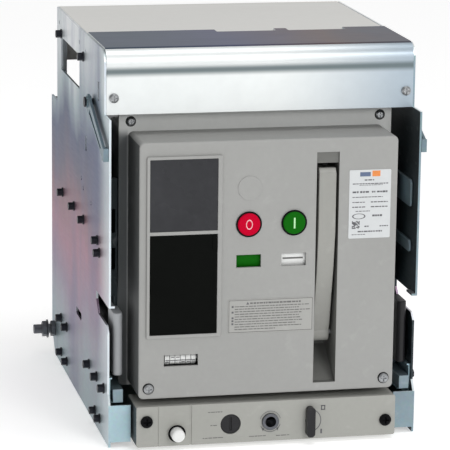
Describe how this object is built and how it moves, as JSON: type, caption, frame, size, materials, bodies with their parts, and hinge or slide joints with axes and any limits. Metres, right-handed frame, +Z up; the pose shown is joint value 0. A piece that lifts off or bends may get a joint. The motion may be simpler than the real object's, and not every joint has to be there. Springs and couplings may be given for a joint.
{
  "type": "air circuit breaker",
  "caption": "Draw-out air circuit breaker with push buttons and a folding charging handle on its moulded front, on rails in a sheet-steel cradle with racking gear and rear terminals.",
  "frame": {"origin": "centre of the rectangle of floor fixing holes, on the underside of the cradle", "axes": "+X to the right seen from the front, +Y from the front to the back, +Z up"},
  "size_m": [0.4045, 0.518, 0.46],
  "materials": {
    "zinc": "bright passivated zinc plate",
    "hood_steel": "bright galvanised",
    "hood_paint": "pale warm grey paint",
    "cover_grey": "fine moulded texture",
    "bar_grey": "fine moulded texture",
    "frame_grey": "moulded",
    "case_dark": "moulded thermoset",
    "wall_dark": "moulded thermoset",
    "copper": "silver-plated copper",
    "steel": "turned",
    "dark_steel": "blackened",
    "black_plastic": "satin",
    "smoked": "smoked, glossy",
    "red_plastic": "gloss",
    "green_plastic": "gloss",
    "white_plastic": "satin",
    "handle_grey": "satin",
    "ivory_board": "glass-polyester sheet",
    "green_plastic_block": "moulded",
    "label_card": "printed film"
  },
  "bodies": {
    "cradle": {"side_plate_left": "zinc", "side_plate_right": "zinc", "hood_front": "hood_steel", "hood_top": "hood_paint", "hood_screws": "steel", "rear_wall": "wall_dark", "line_terminals": "copper", "load_terminals": "copper", "shutter_plates": "ivory_board", "bottom_tray": "zinc", "fixed_rails": "zinc", "plate_bolts": "dark_steel", "earth_stud": "dark_steel", "base_bar": "bar_grey", "base_bar_screws": "dark_steel", "crank_sleeve": "steel", "screw_bearing": "dark_steel", "control_terminals": "green_plastic_block", "terminal_bracket": "zinc", "latch_pivots": "steel"},
    "latch_lever_left": {"latch_left": "steel"},
    "latch_lever_right": {"latch_right": "steel"},
    "rails": {"sliding_rail_left": "zinc", "sliding_rail_right": "zinc"},
    "breaker": {"pole_case": "case_dark", "front_frame": "frame_grey", "front_cover": "cover_grey", "cover_screws": "steel", "carrier_plate_left": "zinc", "carrier_plate_right": "zinc", "side_guards": "white_plastic", "control_plug": "green_plastic_block", "arc_chutes": "dark_steel", "line_conductors": "copper", "load_conductors": "copper", "jaw_clusters": "copper", "current_transformers": "black_plastic", "mechanism_frame": "dark_steel", "closing_spring": "steel", "handle_pin": "steel", "trip_relay": "black_plastic", "relay_bezel": "cover_grey", "relay_window": "smoked", "face_plates": "label_card"},
    "screw": {"racking_screw": "steel"},
    "nut": {"racking_nut": "copper"},
    "indicator_drum": {"position_drum": "black_plastic"},
    "release": {"release_button": "white_plastic"},
    "lock": {"lock_lever": "black_plastic"},
    "pole_shaft": {"main_shaft": "steel"},
    "contact_arms": {"moving_contacts": "copper"},
    "links": {"drive_rods": "ivory_board"},
    "cam": {"camshaft": "steel"},
    "handle": {"charging_handle": "handle_grey"},
    "door": {"relay_door": "smoked"},
    "off": {"off_button": "red_plastic"},
    "on": {"on_button": "green_plastic"},
    "open_indicator": {"open_flag": "green_plastic"},
    "charge_indicator": {"charge_flag": "white_plastic"},
    "counter": {"counter_wheels": "white_plastic"}
  },
  "joints": [
    {"name": "rail_pull", "type": "slide", "parent": "cradle", "child": "rails", "axis": [0, -1, 0], "range_m": [0, 0.24]},
    {"name": "racking", "type": "slide", "parent": "rails", "child": "breaker", "axis": [0, -1, 0], "range_m": [0, 0.06]},
    {"name": "screw_spin", "type": "hinge", "parent": "cradle", "child": "screw", "pos_m": [0.004, -0.1, 0.028], "axis": [0, 1, 0], "range_deg": [0, 3600]},
    {"name": "nut_travel", "type": "slide", "parent": "cradle", "child": "nut", "axis": [0, -1, 0], "range_m": [0, 0.06]},
    {"name": "drum_turn", "type": "hinge", "parent": "cradle", "child": "indicator_drum", "pos_m": [-0.043, -0.2, 0.027], "axis": [0, 1, 0], "range_deg": [0, 120]},
    {"name": "release_press", "type": "slide", "parent": "cradle", "child": "release", "axis": [0, 1, 0], "range_m": [0, 0.005], "stiffness_N_per_m": 800, "springref_m": -0.002},
    {"name": "lock_turn", "type": "hinge", "parent": "cradle", "child": "lock", "pos_m": [0.051, -0.2, 0.0265], "axis": [0, 1, 0], "range_deg": [0, 60]},
    {"name": "latch_left_swing", "type": "hinge", "parent": "cradle", "child": "latch_lever_left", "pos_m": [-0.187, -0.092, 0.386], "axis": [1, 0, 0], "range_deg": [0, 8], "stiffness_Nm_per_rad": 2, "springref_deg": -6.88},
    {"name": "latch_right_swing", "type": "hinge", "parent": "cradle", "child": "latch_lever_right", "pos_m": [0.187, -0.092, 0.386], "axis": [1, 0, 0], "range_deg": [0, 8], "stiffness_Nm_per_rad": 2, "springref_deg": -6.88},
    {"name": "shaft_turn", "type": "hinge", "parent": "breaker", "child": "pole_shaft", "pos_m": [0, -0.05, 0.112], "axis": [-1, 0, 0], "range_deg": [0, 20]},
    {"name": "contact_close", "type": "hinge", "parent": "breaker", "child": "contact_arms", "pos_m": [0, 0.062, 0.142], "axis": [-1, 0, 0], "range_deg": [0, 23.45]},
    {"name": "link_swing", "type": "hinge", "parent": "contact_arms", "child": "links", "pos_m": [0, 0.03435, 0.15466], "axis": [1, 0, 0], "range_deg": [0, 30.05]},
    {"name": "cam_turn", "type": "hinge", "parent": "breaker", "child": "cam", "pos_m": [0, -0.12, 0.16], "axis": [1, 0, 0], "range_deg": [0, 180]},
    {"name": "handle_pull", "type": "hinge", "parent": "breaker", "child": "handle", "pos_m": [0.068, -0.192, 0.124], "axis": [1, 0, 0], "range_deg": [0, 85], "stiffness_Nm_per_rad": 0.4, "springref_deg": -28.65},
    {"name": "door_swing", "type": "hinge", "parent": "breaker", "child": "door", "pos_m": [-0.137, -0.222, 0.195], "axis": [0, 0, -1], "range_deg": [0, 95]},
    {"name": "off_press", "type": "slide", "parent": "breaker", "child": "off", "axis": [0, 1, 0], "range_m": [0, 0.004], "stiffness_N_per_m": 900, "springref_m": -0.002},
    {"name": "on_press", "type": "slide", "parent": "breaker", "child": "on", "axis": [0, 1, 0], "range_m": [0, 0.004], "stiffness_N_per_m": 900, "springref_m": -0.002},
    {"name": "open_flag_turn", "type": "hinge", "parent": "breaker", "child": "open_indicator", "pos_m": [-0.0235, -0.194, 0.2195], "axis": [-1, 0, 0], "range_deg": [0, 60]},
    {"name": "charge_flag_turn", "type": "hinge", "parent": "breaker", "child": "charge_indicator", "pos_m": [0.0295, -0.194, 0.2195], "axis": [-1, 0, 0], "range_deg": [0, 60]},
    {"name": "counter_spin", "type": "hinge", "parent": "breaker", "child": "counter", "pos_m": [-0.101, -0.208, 0.10525], "axis": [-1, 0, 0], "continuous": true}
  ],
  "couplings": [
    {"joint": "screw_spin", "follows": "racking", "rad_per_m": 1047.2},
    {"joint": "nut_travel", "follows": "racking", "ratio": 1},
    {"joint": "drum_turn", "follows": "racking", "rad_per_m": 34.907},
    {"joint": "contact_close", "follows": "shaft_turn", "ratio": 1.17},
    {"joint": "link_swing", "follows": "shaft_turn", "ratio": 1.5002},
    {"joint": "open_flag_turn", "follows": "shaft_turn", "ratio": 2.99},
    {"joint": "charge_flag_turn", "follows": "cam_turn", "ratio": 0.33315}
  ]
}
